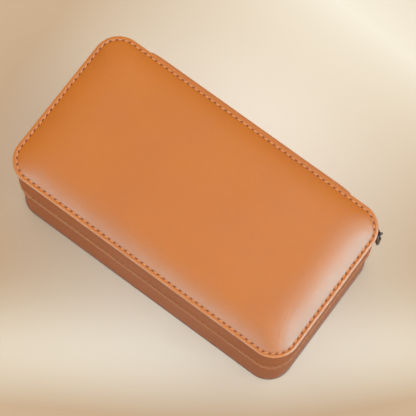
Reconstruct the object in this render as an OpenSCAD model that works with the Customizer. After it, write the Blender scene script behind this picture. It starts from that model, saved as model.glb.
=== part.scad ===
/* [Case] */
// Length over the lid's rim
case_length = 200; // [170:1:240]
// Width over the lid's rim
case_width = 107; // [96:1:140]
// Radius of the rim's corners, seen from above
corner_radius = 16; // [14:0.5:20]
// Height of the rim's top face over the floor
rim_height = 80; // [76:1:100]
// Height of the base's side wall over the floor
base_height = 42; // [38:1:48]
// Height of the gap between the two walls, closed by the zip
zip_gap = 4; // [3.8:0.1:5]

/* [Walls] */
// How far the side walls stand inside the rim
wall_inset = 1; // [0.8:0.1:1.6]
// Thickness of the leather of the walls and the bottom panel
leather = 1.2; // [1:0.1:1.6]
// Thickness of the stiff board
board = 2; // [1.6:0.1:2.4]
// Thickness of the suede lining
lining = 0.8; // [0.6:0.1:1]
// Thickness of the bottom panel
bottom_thickness = 1.6; // [1.2:0.1:2]
// How far the bottom panel stands outside the walls
bottom_out = 0.6; // [0.2:0.1:0.8]
// How far the base's turned edge stands out from its wall
base_hem_out = 0.6; // [0.3:0.1:0.8]
// How far the lid's turned edge stands out from its wall
lid_hem_out = 0.3; // [0.2:0.1:0.5]
// Height of a turned edge
hem_height = 3.4; // [3:0.1:5]
// How far the boards stop short of the wall edges
board_setback = 0.8; // [0.6:0.1:1]
// How far the linings stop short of the wall edges
lining_setback = 0.4; // [0.3:0.1:0.5]

/* [Lid top] */
// Thickness of the top leather
top_thickness = 1.2; // [1:0.1:1.6]
// Rise of the padded crown over the rim
crown_height = 6; // [3:0.5:9]
// Distance from the rim's edge to the foot of the crown
crown_start = 3.4; // [3:0.1:5]
// Width of the crown's curved shoulder
crown_shoulder = 28; // [20:1:30]
// How far the wall leather's flange stands inside the rim
flange_setback = 0.5; // [0.3:0.1:0.8]
// Width of the wall leather's flange
flange_width = 6.5; // [5:0.5:9]

/* [Stitching] */
// Distance from the rim's edge to the topstitching
stitch_inset = 2.5; // [1.8:0.1:2.6]
// Distance from one stitch to the next
stitch_pitch = 3.9; // [3:0.1:5]
// Length of a stitch
stitch_length = 2.6; // [1.6:0.1:2.8]
// Width of the thread
thread_width = 0.6; // [0.4:0.1:0.8]
// How far the thread stands over the leather
thread_rise = 0.4; // [0.3:0.1:0.5]
// Distance from a wall's edge to its stitching
edge_stitch_setback = 1.7; // [1.3:0.1:2]

/* [Inside] */
// Thickness of the floor pad
floor_pad_thickness = 3; // [2:0.5:4]
// Thickness of the lid pad
lid_pad_thickness = 5; // [3:0.5:8]
// Thickness of a divider
divider_thickness = 3; // [2:0.5:4]
// Height of a divider over the floor pad
divider_height = 31; // [20:1:32]
// Length of a pillow along the case
pillow_length = 56; // [40:1:58]
// Depth of a pillow across the case
pillow_depth = 66; // [50:1:74]
// Height of a pillow
pillow_height = 42; // [30:1:44]
// Thickness of a pillow's cover
cover_thickness = 1; // [0.8:0.1:1.5]

/* [Zip] */
// Thickness of the zip tape
tape_thickness = 0.6; // [0.4:0.1:0.8]
// Depth of tape sewn in behind the wall leather
tape_depth = 8; // [6:0.5:10]
// Height of a zip tooth
tooth_height = 1.1; // [0.9:0.1:1.2]
// Thickness of a zip tooth across the tape
tooth_thickness = 1.8; // [1.4:0.1:1.8]
// Length of a zip tooth along the tape
tooth_length = 1.6; // [1.2:0.1:1.8]
// Distance from one tooth to the next
tooth_pitch = 3; // [2.6:0.1:3.6]
// Gap between the two rows of teeth, where the slider's post runs
row_gap = 0.9; // [0.8:0.1:1.1]
// Length of an end stop, as an angle round the corner
stop_angle = 5; // [4:1:6]

/* [Slider and puller] */
// Place of the slider on the rear right corner, as an angle from the right side
slider_angle = 57; // [54:1:58]
// Half the slider's length, as an angle round the corner
slider_half_angle = 20; // [16:1:20]
// Clearance between the slider and the teeth, the tape and the wall edges
slider_clearance = 0.3; // [0.25:0.05:0.4]
// Extra clearance outside the teeth, for the lid's swing
swing_clearance = 0.2; // [0.2:0.05:0.3]
// Thickness of the slider's plates
plate_thickness = 1.2; // [1:0.1:1.3]
// Thickness of the slider's post
post_thickness = 0.5; // [0.4:0.05:0.6]
// Height of the slider's face plate
face_height = 4.8; // [4:0.1:4.9]
// Clear height under the slider's bridge
bridge_clear = 3.2; // [3:0.1:3.6]
// Thickness of the bridge
bridge_thickness = 1; // [0.8:0.1:1.2]
// Width of the bridge
bridge_width = 2; // [1.6:0.1:2.2]
// Half the bridge's length, as an angle round the corner
bridge_half_angle = 14; // [12:1:15]
// Clearance between the puller's eye and the bridge
eye_clearance = 0.2; // [0.15:0.05:0.3]
// Thickness of the puller's eye round its hole
eye_wall = 1.1; // [0.8:0.1:1.2]
// Thickness of the eye along the bridge
eye_thickness = 1.4; // [1:0.1:1.6]
// Length of the puller below the eye's middle
puller_length = 21; // [14:1:26]
// Width of the puller
puller_width = 5; // [4:0.5:6]
// Thickness of the puller
puller_thickness = 1.2; // [1:0.1:1.4]

/* [Hinge spine] */
// Length of the spine along the back
spine_length = 146; // [120:1:160]
// How far the spine's outer face stands outside the rim
spine_out = 1.6; // [1.4:0.1:2.4]
// Gap between the spine and the top leather, and the bottom panel
spine_gap = 0.2; // [0.2:0.1:0.6]
// Corner radius of the spine
spine_corner = 3; // [1:0.5:6]

/* [Hidden] */
$fn = 64;

tan_leather = [0.80, 0.49, 0.28];
wall_leather = [0.62, 0.37, 0.23];
suede = [0.72, 0.62, 0.50];
greyboard = [0.55, 0.52, 0.48];
thread_colour = [0.88, 0.66, 0.42];
tape_colour = [0.30, 0.19, 0.13];
gunmetal = [0.16, 0.14, 0.15];

// Small clearance that keeps neighbouring faces of one body apart
hair = 0.05;
// Room for a straight stitch on a round corner
chord_room = 0.08;
// Clearance round the loose pads and the dividers
pad_clearance = 0.3;
// How far a cutting shape runs past the solid that it cuts
cut = 1;
// How far the tape starts past the spine's end
tape_past_spine = 1;
// Angles round the rear right corner: from the slider to the first tooth, and on to the end stop
first_tooth_gap_angle = 1;
stop_gap_angle = 1;
// Angles round the rear right corner: the slider's post and each foot of the bridge
post_angle = 4;
bridge_foot_angle = 4;

// Insets from the rim's edge, layer by layer
wall_inner = wall_inset + leather;
board_inner = wall_inner + board;
lining_inner = board_inner + lining;
tape_middle = wall_inner + tape_thickness / 2;

// Heights, from the floor up
base_floor = bottom_thickness + board;
base_inside = base_floor + lining;
pad_top = base_inside + floor_pad_thickness;
zip_middle = base_height + zip_gap / 2;
lid_bottom = base_height + zip_gap;
flange_top = rim_height - top_thickness;
roof_top = flange_top - leather;
roof_bottom = roof_top - board;
ceiling = roof_bottom - lining;

// The case's straight half lengths, between the corners' centres
corner_x = case_length / 2 - corner_radius;
corner_y = case_width / 2 - corner_radius;

module outline(inset) {
    radius = corner_radius - inset;
    square([2 * (corner_x + radius), 2 * corner_y], center = true);
    square([2 * corner_x, 2 * (corner_y + radius)], center = true);
    for (x = [-corner_x, corner_x]) {
        for (y = [-corner_y, corner_y]) {
            translate([x, y]) circle(r = radius);
        }
    }
}

module slab(inset, low, high) {
    translate([0, 0, low]) linear_extrude(high - low) outline(inset);
}

module band(outer, inner, low, high) {
    translate([0, 0, low]) linear_extrude(high - low) difference() {
        outline(outer);
        outline(inner);
    }
}

// A place on the rounded rectangle at an inset: [x, y, angle of the outward normal].
// The distance starts at the middle of the back and runs by the right side to the front.
function spot_on_arc(x, y, radius, angle) = [x + radius * cos(angle), y + radius * sin(angle), angle];
function quarter(inset) = PI * (corner_radius - inset) / 2;
function way_round(inset) = 4 * (corner_x + corner_y + quarter(inset));
function spot(inset, way) =
    let (
        radius = corner_radius - inset,
        arc = quarter(inset),
        side = 2 * corner_y,
        rear_right = corner_x,
        right = rear_right + arc,
        front_right = right + side,
        front = front_right + arc,
        front_left = front + 2 * corner_x,
        left = front_left + arc,
        rear_left = left + side,
        back = rear_left + arc
    )
    way < rear_right ? [way, corner_y + radius, 90] :
    way < right ? spot_on_arc(corner_x, corner_y, radius, 90 - (way - rear_right) / arc * 90) :
    way < front_right ? [corner_x + radius, corner_y - (way - right), 0] :
    way < front ? spot_on_arc(corner_x, -corner_y, radius, -(way - front_right) / arc * 90) :
    way < front_left ? [corner_x - (way - front), -corner_y - radius, -90] :
    way < left ? spot_on_arc(-corner_x, -corner_y, radius, -90 - (way - front_left) / arc * 90) :
    way < rear_left ? [-corner_x - radius, -corner_y + (way - left), 180] :
    way < back ? spot_on_arc(-corner_x, corner_y, radius, 180 - (way - rear_left) / arc * 90) :
    [-corner_x + (way - back), corner_y + radius, 90];

// Copies of a block along the way round, on its outer side
module blocks_along(inset, first, last, pitch, size, height) {
    count = floor((last - first) / pitch);
    step = (last - first) / count;
    for (i = [0 : count - 1]) {
        place = spot(inset, first + (i + 0.5) * step);
        translate([place[0], place[1], height]) rotate([0, 0, place[2]]) cube(size, center = true);
    }
}

// A closed loft through rounded rectangles, each given as [inset, height]
arc_steps = 10;
ring_size = 4 * (arc_steps + 1);
least_radius = 2;
function loft_ring(inset, height) = [
    for (side = [0 : 3], step = [0 : arc_steps])
        let (
            angle = 90 * side + 90 * step / arc_steps,
            radius = max(corner_radius - inset, least_radius),
            x = corner_x + corner_radius - inset - radius,
            y = corner_y + corner_radius - inset - radius,
            right = side == 0 || side == 3 ? 1 : -1,
            rear = side < 2 ? 1 : -1
        )
        [right * x + radius * cos(angle), rear * y + radius * sin(angle), height]
];
// A closed skin over rings of points, from the ring at the positive end of its axis
// to the ring at the negative end, with a flat cap on each
module skin(points, size) {
    rings = len(points) / size;
    first_cap = [for (i = [0 : size - 1]) size - 1 - i];
    last_cap = [for (i = [0 : size - 1]) (rings - 1) * size + i];
    sides = [
        for (ring = [0 : rings - 2], i = [0 : size - 1])
            let (
                j = (i + 1) % size,
                here = ring * size,
                next = here + size
            )
            each [[here + i, next + j, next + i], [here + i, here + j, next + j]]
    ];
    polyhedron(points = points, faces = concat([first_cap], sides, [last_cap]));
}

module loft(profile) {
    skin([for (step = profile) each loft_ring(step[0], step[1])], ring_size);
}

// The crown's height over the rim at a share of its shoulder
crown_power = 3.2;
crown_shares = [1, 0.7, 0.5, 0.35, 0.23, 0.13, 0.06, 0];
function crown_rise(share) = crown_height * (1 - pow(1 - share, crown_power));
function crown_profile(drop, start) = [
    for (share = crown_shares)
        [start + share * crown_shoulder, rim_height - drop + crown_rise(share)]
];

// A pillow lying along X: superellipse sections that draw in towards both ends
section_points = 28;
section_power = 3.4;
end_power = 4;
end_share = 0.5;
pillow_rings = [1, 0.94, 0.8, 0.5, 0, -0.5, -0.8, -0.94, -1];
function signed_power(value, power) = sign(value) * pow(abs(value), power);
function pillow_scale(place) = end_share + (1 - end_share) * pow(1 - pow(abs(place), end_power), 1 / 3);
module pillow_solid(length, depth, height) {
    points = [
        for (place = pillow_rings, i = [0 : section_points - 1])
            let (
                angle = 360 * i / section_points,
                share = pillow_scale(place),
                y = signed_power(cos(angle), 2 / section_power),
                z = signed_power(sin(angle), 2 / section_power)
            )
            [place * length / 2, share * y * depth / 2, share * z * height / 2]
    ];
    skin(points, section_points);
}

// Base

module bottom_panel() {
    color(wall_leather) slab(wall_inset - bottom_out, 0, bottom_thickness);
}

module base_board() {
    color(greyboard) difference() {
        slab(wall_inner, bottom_thickness, base_height - board_setback);
        slab(board_inner, base_floor, base_height);
        band(wall_inner - cut, wall_inner + tape_thickness, base_height - tape_depth, base_height);
    }
}

module base_leather() {
    color(wall_leather) {
        band(wall_inset, wall_inner, bottom_thickness, base_height);
        band(wall_inset - base_hem_out, wall_inset, base_height - hem_height, base_height);
    }
}

module base_edge_stitching() {
    face = wall_inset - base_hem_out;
    inset = face - chord_room - thread_rise / 2;
    color(thread_colour) blocks_along(
        inset, spine_length / 2, way_round(inset) - spine_length / 2, stitch_pitch,
        [thread_rise, stitch_length, thread_width], base_height - edge_stitch_setback
    );
}

module base_lining() {
    color(suede) difference() {
        slab(board_inner, base_floor, base_height - lining_setback);
        slab(lining_inner, base_inside, base_height);
    }
}

module floor_pad() {
    color(suede) slab(lining_inner + pad_clearance, base_inside, pad_top);
}

inside_length = case_length - 2 * lining_inner;
inside_depth = case_width - 2 * lining_inner;
compartment = (inside_length - 2 * divider_thickness) / 3;

module divider() {
    translate([0, 0, pad_top + divider_height / 2])
        cube([divider_thickness, inside_depth - 2 * pad_clearance, divider_height], center = true);
}

module divider_left() {
    color(suede) translate([-(compartment + divider_thickness) / 2, 0, 0]) divider();
}

module divider_right() {
    color(suede) translate([(compartment + divider_thickness) / 2, 0, 0]) divider();
}

pillow_spacing = compartment + divider_thickness;
pillow_middle_height = pad_top + hair + pillow_height / 2;

module pillow_cover(place) {
    inner = 2 * cover_thickness;
    color(suede) translate([place * pillow_spacing, 0, pillow_middle_height]) difference() {
        pillow_solid(pillow_length, pillow_depth, pillow_height);
        pillow_solid(pillow_length - inner, pillow_depth - inner, pillow_height - inner);
    }
}

module pillow_core(place) {
    inner = 2 * (cover_thickness + hair);
    color(greyboard) translate([place * pillow_spacing, 0, pillow_middle_height])
        pillow_solid(pillow_length - inner, pillow_depth - inner, pillow_height - inner);
}

// Zip

// Where the zip starts and ends at the back, past the spine
tape_start = spine_length / 2 + tape_past_spine;
tooth_face = row_gap / 2;
tape_edge = row_gap / 2 + tooth_height;
first_tooth_angle = slider_angle + slider_half_angle + first_tooth_gap_angle;

module tape(low, high) {
    color(tape_colour) difference() {
        band(wall_inner, wall_inner + tape_thickness, low, high);
        translate([-tape_start, 0, low - cut])
            cube([2 * tape_start, case_width, high - low + 2 * cut]);
    }
}

function corner_way(inset, angle) = corner_x + quarter(inset) * (90 - angle) / 90;

module teeth(height) {
    start = corner_way(tape_middle, first_tooth_angle);
    color(gunmetal) blocks_along(
        tape_middle, start, way_round(tape_middle) - start, tooth_pitch,
        [tooth_thickness, tooth_length, tooth_height], height
    );
}

module end_stop(height) {
    radius = corner_radius - tape_middle;
    translate([corner_x, corner_y, 0]) rotate([0, 0, first_tooth_angle + stop_gap_angle])
        rotate_extrude(angle = stop_angle)
            translate([radius - tooth_thickness / 2, height - tooth_height / 2])
                square([tooth_thickness, tooth_height]);
}

module end_stops(height) {
    color(gunmetal) {
        end_stop(height);
        mirror([1, 0, 0]) end_stop(height);
    }
}

lower_tooth_middle = zip_middle - tooth_face - tooth_height / 2;
upper_tooth_middle = zip_middle + tooth_face + tooth_height / 2;

module lower_tape() {
    tape(base_height - tape_depth, zip_middle - tape_edge);
}

module lower_teeth() {
    teeth(lower_tooth_middle);
}

module lower_end_stops() {
    end_stops(lower_tooth_middle);
}

module upper_tape() {
    tape(zip_middle + tape_edge, lid_bottom + tape_depth);
}

module upper_teeth() {
    teeth(upper_tooth_middle);
}

module upper_end_stops() {
    end_stops(upper_tooth_middle);
}

// Lid

module lid_board() {
    color(greyboard) difference() {
        slab(wall_inner, lid_bottom + board_setback, roof_top);
        slab(board_inner, lid_bottom, roof_bottom);
        band(wall_inner - cut, wall_inner + tape_thickness, lid_bottom, lid_bottom + tape_depth);
    }
}

module lid_leather() {
    color(wall_leather) {
        band(wall_inset, wall_inner, lid_bottom, flange_top);
        band(wall_inset - lid_hem_out, wall_inset, lid_bottom, lid_bottom + hem_height);
        band(flange_setback, flange_setback + flange_width, roof_top, flange_top);
    }
}

module top_foam() {
    foot = crown_start + top_thickness;
    step = flange_setback + flange_width + hair;
    crown = crown_profile(top_thickness + hair, foot);
    color(greyboard) loft(concat(
        [for (i = [0 : len(crown) - 2]) crown[i]],
        [[foot, flange_top + hair], [step, flange_top + hair], [step, roof_top]]
    ));
}

// The rim's edge is a half round of the leather's own thickness
edge_angles = [90, 45, 0, -45, -90];
module top_leather() {
    half = top_thickness / 2;
    edge = [for (angle = edge_angles) [half - half * cos(angle), rim_height - half + half * sin(angle)]];
    underside = crown_profile(top_thickness, crown_start);
    color(tan_leather) loft(concat(
        crown_profile(0, crown_start),
        edge,
        [for (i = [len(underside) - 1 : -1 : 0]) underside[i]]
    ));
}

module top_stitching() {
    color(thread_colour) blocks_along(
        stitch_inset, 0, way_round(stitch_inset), stitch_pitch,
        [thread_width, stitch_length, thread_rise], rim_height + thread_rise / 2
    );
}

module lid_edge_stitching() {
    face = wall_inset - lid_hem_out;
    inset = face - chord_room - thread_rise / 2;
    color(thread_colour) blocks_along(
        inset, spine_length / 2, way_round(inset) - spine_length / 2, stitch_pitch,
        [thread_rise, stitch_length, thread_width], lid_bottom + edge_stitch_setback
    );
}

module lid_lining() {
    color(suede) difference() {
        slab(board_inner, lid_bottom + lining_setback, roof_bottom);
        slab(lining_inner, lid_bottom, ceiling);
    }
}

module lid_pad() {
    color(suede) slab(lining_inner + pad_clearance, ceiling - lid_pad_thickness, ceiling);
}

// Hinge

module hinge_spine() {
    inner_face = case_width / 2 - wall_inset + max(base_hem_out, lid_hem_out);
    outer_face = case_width / 2 + spine_out;
    low = bottom_thickness + spine_gap;
    high = flange_top - spine_gap;
    color(tan_leather) translate([0, outer_face, 0]) rotate([90, 0, 0])
        linear_extrude(outer_face - inner_face) {
            for (x = [-1, 1] * (spine_length / 2 - spine_corner)) {
                for (z = [low + spine_corner, high - spine_corner]) {
                    translate([x, z]) circle(r = spine_corner);
                }
            }
            translate([-spine_length / 2, low + spine_corner])
                square([spine_length, high - low - 2 * spine_corner]);
            translate([-spine_length / 2 + spine_corner, low])
                square([spine_length - 2 * spine_corner, high - low]);
        }
}

// Slider and puller, built round the rear right corner's centre

module round_corner(from, to, inner, outer, height) {
    translate([corner_x, corner_y, zip_middle]) rotate([0, 0, from])
        rotate_extrude(angle = to - from)
            translate([inner, -height / 2]) square([outer - inner, height]);
}

teeth_radius = corner_radius - tape_middle;
slider_from = slider_angle - slider_half_angle;
slider_to = slider_angle + slider_half_angle;
channel_inner = teeth_radius - tooth_thickness / 2 - slider_clearance;
channel_outer = teeth_radius + tooth_thickness / 2 + slider_clearance + swing_clearance;
plate_height = zip_gap - 2 * slider_clearance;
hem_radius = corner_radius - wall_inset + max(base_hem_out, lid_hem_out);
plate_outer = max(channel_outer + plate_thickness, hem_radius + slider_clearance + swing_clearance);
face_outer = plate_outer + plate_thickness;

module slider_body() {
    color(gunmetal) {
        round_corner(slider_from, slider_to, channel_inner - plate_thickness, channel_inner, plate_height);
        round_corner(slider_from, slider_to, channel_outer, plate_outer, plate_height);
        round_corner(slider_from, slider_to, plate_outer, face_outer, face_height);
        round_corner(
            slider_to - post_angle, slider_to, channel_inner - hair, channel_outer + hair, post_thickness
        );
    }
}

bridge_outer = face_outer + bridge_clear + bridge_thickness;
bridge_from = slider_angle - bridge_half_angle;
bridge_to = slider_angle + bridge_half_angle;

module slider_bridge() {
    color(gunmetal) {
        round_corner(bridge_from, bridge_from + bridge_foot_angle, face_outer, bridge_outer, bridge_width);
        round_corner(bridge_to - bridge_foot_angle, bridge_to, face_outer, bridge_outer, bridge_width);
        round_corner(bridge_from, bridge_to, bridge_outer - bridge_thickness, bridge_outer, bridge_width);
    }
}

eye_radius = bridge_outer - bridge_thickness / 2;
half_diagonal = sqrt(bridge_thickness * bridge_thickness + bridge_width * bridge_width) / 2;
eye_hole = half_diagonal + eye_clearance;
eye_outer = eye_hole + eye_wall;
// The eye hangs beside the bridge's front foot, clear of it
eye_half_angle = asin((eye_thickness / 2 + eye_clearance) / (eye_radius - eye_outer));
eye_angle = bridge_from + bridge_foot_angle + eye_half_angle;

module zip_puller() {
    tip = puller_width / 2;
    color(gunmetal) translate([corner_x, corner_y, zip_middle])
        rotate([0, 0, eye_angle]) translate([eye_radius, 0, 0]) difference() {
            union() {
                rotate([90, 0, 0]) cylinder(r = eye_outer, h = eye_thickness, center = true);
                translate([-puller_thickness / 2, 0, 0]) rotate([90, 0, 90])
                    linear_extrude(puller_thickness) {
                        translate([0, tip - puller_length]) circle(r = tip);
                        translate([-tip, tip - puller_length])
                            square([puller_width, puller_length - tip - eye_outer]);
                        translate([-eye_thickness / 2, -eye_outer - hair])
                            square([eye_thickness, eye_outer]);
                    }
            }
            rotate([90, 0, 0]) cylinder(r = eye_hole, h = puller_width, center = true);
        }
}

bottom_panel();
base_board();
base_leather();
base_edge_stitching();
base_lining();
floor_pad();
divider_left();
divider_right();
pillow_cover(-1);  // pillow_cover_left
pillow_cover(0);  // pillow_cover_middle
pillow_cover(1);  // pillow_cover_right
pillow_core(-1);  // pillow_core_left
pillow_core(0);  // pillow_core_middle
pillow_core(1);  // pillow_core_right
lower_tape();
lower_teeth();
lower_end_stops();
hinge_spine();
lid_board();
lid_leather();
top_foam();
top_leather();
top_stitching();
lid_edge_stitching();
lid_lining();
lid_pad();
upper_tape();
upper_teeth();
upper_end_stops();
slider_body();
slider_bridge();
zip_puller();
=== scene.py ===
"""A zipped travel case for watches in smooth tan leather, closed, on a pale table."""

import math

import bmesh
import bpy
import numpy as np
from mathutils import Matrix, Vector, noise
from mathutils.bvhtree import BVHTree


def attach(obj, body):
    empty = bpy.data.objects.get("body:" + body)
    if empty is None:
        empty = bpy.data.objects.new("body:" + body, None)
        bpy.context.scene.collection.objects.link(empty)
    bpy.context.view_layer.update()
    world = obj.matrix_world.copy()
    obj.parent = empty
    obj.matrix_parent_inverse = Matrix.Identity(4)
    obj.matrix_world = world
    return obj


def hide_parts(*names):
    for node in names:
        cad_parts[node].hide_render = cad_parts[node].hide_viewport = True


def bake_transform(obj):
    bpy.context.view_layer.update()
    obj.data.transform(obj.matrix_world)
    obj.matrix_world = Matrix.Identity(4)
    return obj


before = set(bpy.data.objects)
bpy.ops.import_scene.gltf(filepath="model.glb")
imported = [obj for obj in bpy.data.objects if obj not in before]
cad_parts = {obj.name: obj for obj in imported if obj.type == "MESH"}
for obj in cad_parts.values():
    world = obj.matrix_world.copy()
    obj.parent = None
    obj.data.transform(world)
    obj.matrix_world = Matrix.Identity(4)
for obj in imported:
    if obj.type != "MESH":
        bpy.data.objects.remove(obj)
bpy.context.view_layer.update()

MM = 0.001

# Sizes in millimetres, the same as the solids'. An inset is a distance in from the rim's outline,
# and HX and HY are where the middles of its round corners lie.
LENGTH, WIDTH, CORNER = 200, 107, 16
HX, HY = LENGTH / 2 - CORNER, WIDTH / 2 - CORNER
RIM, ZIP = 80, 44
CROWN, CROWN_START, SHOULDER = 6, 3.1, 28.3
SPINE_HALF, SPINE_FRONT, SPINE_BACK = 73, WIDTH / 2 - 0.4, WIDTH / 2 + 1.6
PITCH, STITCHES, STITCH_INSET, EDGE_INSET = 3.9, 146, 2.5, 0.5
ROOM, DIVIDER = 190, 3
COMPARTMENT = (ROOM - 2 * DIVIDER) / 3
PILLOW, PILLOW_LOW, PIPING = (56.0, 66.0, 42.0), 7.45, 0.5
ZIP_INSET, TAPE_START, TOOTH_PITCH, TOOTH_FOOT = 2.5, 74.0, 3, 1.55
BRIDGE_REACH = 21.0

# Degrees round the rear right corner's middle, from +X
FIRST_TOOTH, SLIDER, EYE = 78.0, 57.0, 49.7759


# ---------------------------------------------------------------- materials

def tree_of(name):
    material = bpy.data.materials.new(name)
    material.use_nodes = True
    tree = material.node_tree
    return material, tree, tree.nodes["Principled BSDF"]


def node(tree, kind, inputs=None, **settings):
    """A shader node; an input is a number, a colour or another node's socket."""
    made = tree.nodes.new("ShaderNode" + kind)
    for key, value in settings.items():
        setattr(made, key, value)
    for key, value in (inputs or {}).items():
        if isinstance(value, bpy.types.NodeSocket):
            tree.links.new(value, made.inputs[key])
        else:
            made.inputs[key].default_value = value
    return made


def mixed(tree, factor, a, b, blend="MIX"):
    """Two colours mixed, each of them (red, green, blue) or another node's socket."""
    a, b = (c if isinstance(c, bpy.types.NodeSocket) else (*c, 1) for c in (a, b))
    mix = node(tree, "Mix", {0: factor, 6: a, 7: b}, data_type="RGBA", blend_type=blend)
    return mix.outputs[2]


def combined(tree, kind, a, b, clamp=False):
    return node(tree, "Math", {0: a, 1: b}, operation=kind, use_clamp=clamp).outputs[0]


def ranged(tree, value, low, high, to_low, to_high):
    made = node(tree, "MapRange", {"Value": value, "From Min": low, "From Max": high,
                                   "To Min": to_low, "To Max": to_high})
    return made.outputs["Result"]


def put(shader, **values):
    for key, value in values.items():
        shader.inputs[key.replace("_", " ")].default_value = value


def dressed(tree, shader, colour, height, strength, distance, **values):
    """Gives the shader its colour, a bump and its plain values."""
    bump = node(tree, "Bump", {"Height": height, "Strength": strength, "Distance": distance})
    tree.links.new(colour, shader.inputs["Base Color"])
    tree.links.new(bump.outputs["Normal"], shader.inputs["Normal"])
    put(shader, **values)


def clouds(tree, place, scale, detail, **more):
    """The outputs of smooth noise; more: its other inputs, by name."""
    inputs = {"Vector": place, "Scale": scale, "Detail": detail, **more}
    return node(tree, "TexNoise", inputs).outputs


def leather(name, colour, deep, grain=1.0, rough=(0.37, 0.44), gloss=0.36, marks=False):
    """Smooth finished leather: fine pebble grain, pores, and slow changes of tone.
    Marks are the mesh's own: needle-hole marks, painted dark as the shade inside a hole, and edges
    that are burnished smooth and painted lighter, which is partly a painted highlight."""
    material, tree, shader = tree_of(name)
    place = node(tree, "TexCoord").outputs["Object"]
    slow = clouds(tree, place, 22, 3)["Fac"]
    pebble = clouds(tree, place, 720, 2)["Fac"]
    fine = clouds(tree, place, 1500, 4, Roughness=0.6)
    warp = mixed(tree, 0.0006, place, fine["Color"], "ADD")
    cells = node(tree, "TexVoronoi", {"Vector": warp, "Scale": 1150}, feature="DISTANCE_TO_EDGE")
    crease = ranged(tree, cells.outputs["Distance"], 0, 0.16, 1, 0)
    pores = node(tree, "TexVoronoi", {"Vector": place, "Scale": 620}, feature="F1")
    pore = ranged(tree, pores.outputs["Distance"], 0.05, 0.2, 1, 0)
    base = mixed(tree, ranged(tree, slow, 0.3, 0.7, 0, 0.28), colour, deep)
    base = mixed(tree, ranged(tree, crease, 0, 1, 0, 0.10), base, deep)
    base = mixed(tree, ranged(tree, pore, 0, 1, 0, 0.14), base, deep)
    matt = ranged(tree, slow, 0.3, 0.7, *rough)
    if marks:
        hole = node(tree, "Attribute", attribute_name="hole").outputs["Fac"]
        edge = node(tree, "Attribute", attribute_name="edge").outputs["Fac"]
        # Lighter edge colour: burnish, and partly a painted highlight along the edges' lit crests.
        base = mixed(tree, ranged(tree, edge, 0, 1, 0, 0.7), base, (0.84, 0.42, 0.17))
        # Needle-hole marks painted dark: painted shade inside each hole.
        base = mixed(tree, hole, base, (0.19, 0.040, 0.006))
        matt = combined(tree, "SUBTRACT", matt, ranged(tree, edge, 0, 1, 0, 0.3))
        matt = combined(tree, "ADD", matt, hole, clamp=True)
    height = combined(tree, "MULTIPLY", fine["Fac"], 0.5)
    height = combined(tree, "SUBTRACT", height, crease)
    height = combined(tree, "ADD", height, combined(tree, "MULTIPLY", pebble, 2.0))
    bump = node(tree, "Bump", {"Height": height, "Strength": 0.4 * grain, "Distance": 0.00013})
    soft = node(tree, "Bump", {"Height": slow, "Strength": 0.25, "Distance": 0.0012,
                               "Normal": bump.outputs["Normal"]})
    tree.links.new(base, shader.inputs["Base Color"])
    tree.links.new(matt, shader.inputs["Roughness"])
    tree.links.new(soft.outputs["Normal"], shader.inputs["Normal"])
    put(shader, Specular_IOR_Level=gloss, Specular_Tint=(0.12, 0.84, 1.0, 1))
    return material


def suede(name, colour, deep):
    """Short nap: mottled by the way it lies, with soft fuzz at grazing angles."""
    material, tree, shader = tree_of(name)
    place = node(tree, "TexCoord").outputs["Object"]
    lay = clouds(tree, place, 60, 5, Roughness=0.65)["Fac"]
    nap = clouds(tree, place, 3200, 3)["Fac"]
    base = mixed(tree, ranged(tree, lay, 0.35, 0.65, 0, 0.6), colour, deep)
    base = mixed(tree, ranged(tree, nap, 0.3, 0.7, 0, 0.35), base, deep)
    dressed(tree, shader, base, nap, 0.5, 0.0002, Roughness=0.95, Specular_IOR_Level=0.15,
            Sheen_Weight=0.5, Sheen_Roughness=0.45)
    return material


def yarn(name, colour, deep):
    """Waxed twisted thread."""
    material, tree, shader = tree_of(name)
    place = node(tree, "TexCoord").outputs["Object"]
    ply = clouds(tree, place, 2600, 3)["Fac"]
    spin = node(tree, "TexWave", {"Vector": place, "Scale": 900, "Distortion": 2},
                bands_direction="DIAGONAL").outputs["Fac"]
    base = mixed(tree, ranged(tree, ply, 0.35, 0.65, 0, 0.6), colour, deep)
    base = mixed(tree, ranged(tree, spin, 0, 1, 0, 0.25), base, deep)
    dressed(tree, shader, base, spin, 0.4, 0.00008, Roughness=0.65, Specular_IOR_Level=0.12,
            Sheen_Weight=0.1)
    return material


def woven(name, colour, deep):
    """Zip tape: a close rib weave that follows the tape."""
    material, tree, shader = tree_of(name)
    way = node(tree, "UVMap", uv_map="way").outputs["UV"]
    along = node(tree, "TexWave", {"Vector": way, "Scale": 330}, bands_direction="X")
    across = node(tree, "TexWave", {"Vector": way, "Scale": 260}, bands_direction="Y")
    weave = combined(tree, "MULTIPLY", along.outputs["Fac"], across.outputs["Fac"])
    dressed(tree, shader, mixed(tree, weave, deep, colour), weave, 0.6, 0.0002, Roughness=0.8,
            Specular_IOR_Level=0.25, Sheen_Weight=0.25)
    return material


def plated(name, colour, rough=(0.2, 0.36)):
    """Dark plated metal with faint smears and hairlines."""
    material, tree, shader = tree_of(name)
    place = node(tree, "TexCoord").outputs["Object"]
    smear = clouds(tree, place, 160, 4)["Fac"]
    hair = clouds(tree, place, 2400, 2)["Fac"]
    base = mixed(tree, smear, colour, [c * 1.7 for c in colour])
    tree.links.new(ranged(tree, smear, 0.3, 0.7, *rough), shader.inputs["Roughness"])
    dressed(tree, shader, base, hair, 0.1, 0.00005, Metallic=1.0)
    return material


def pressed_board(name, colour, deep):
    material, tree, shader = tree_of(name)
    place = node(tree, "TexCoord").outputs["Object"]
    fibre = clouds(tree, place, 900, 6, Distortion=1.5)["Fac"]
    base = mixed(tree, ranged(tree, fibre, 0.3, 0.7, 0, 1), colour, deep)
    dressed(tree, shader, base, fibre, 0.4, 0.0002, Roughness=0.95, Specular_IOR_Level=0.2)
    return material


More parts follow.
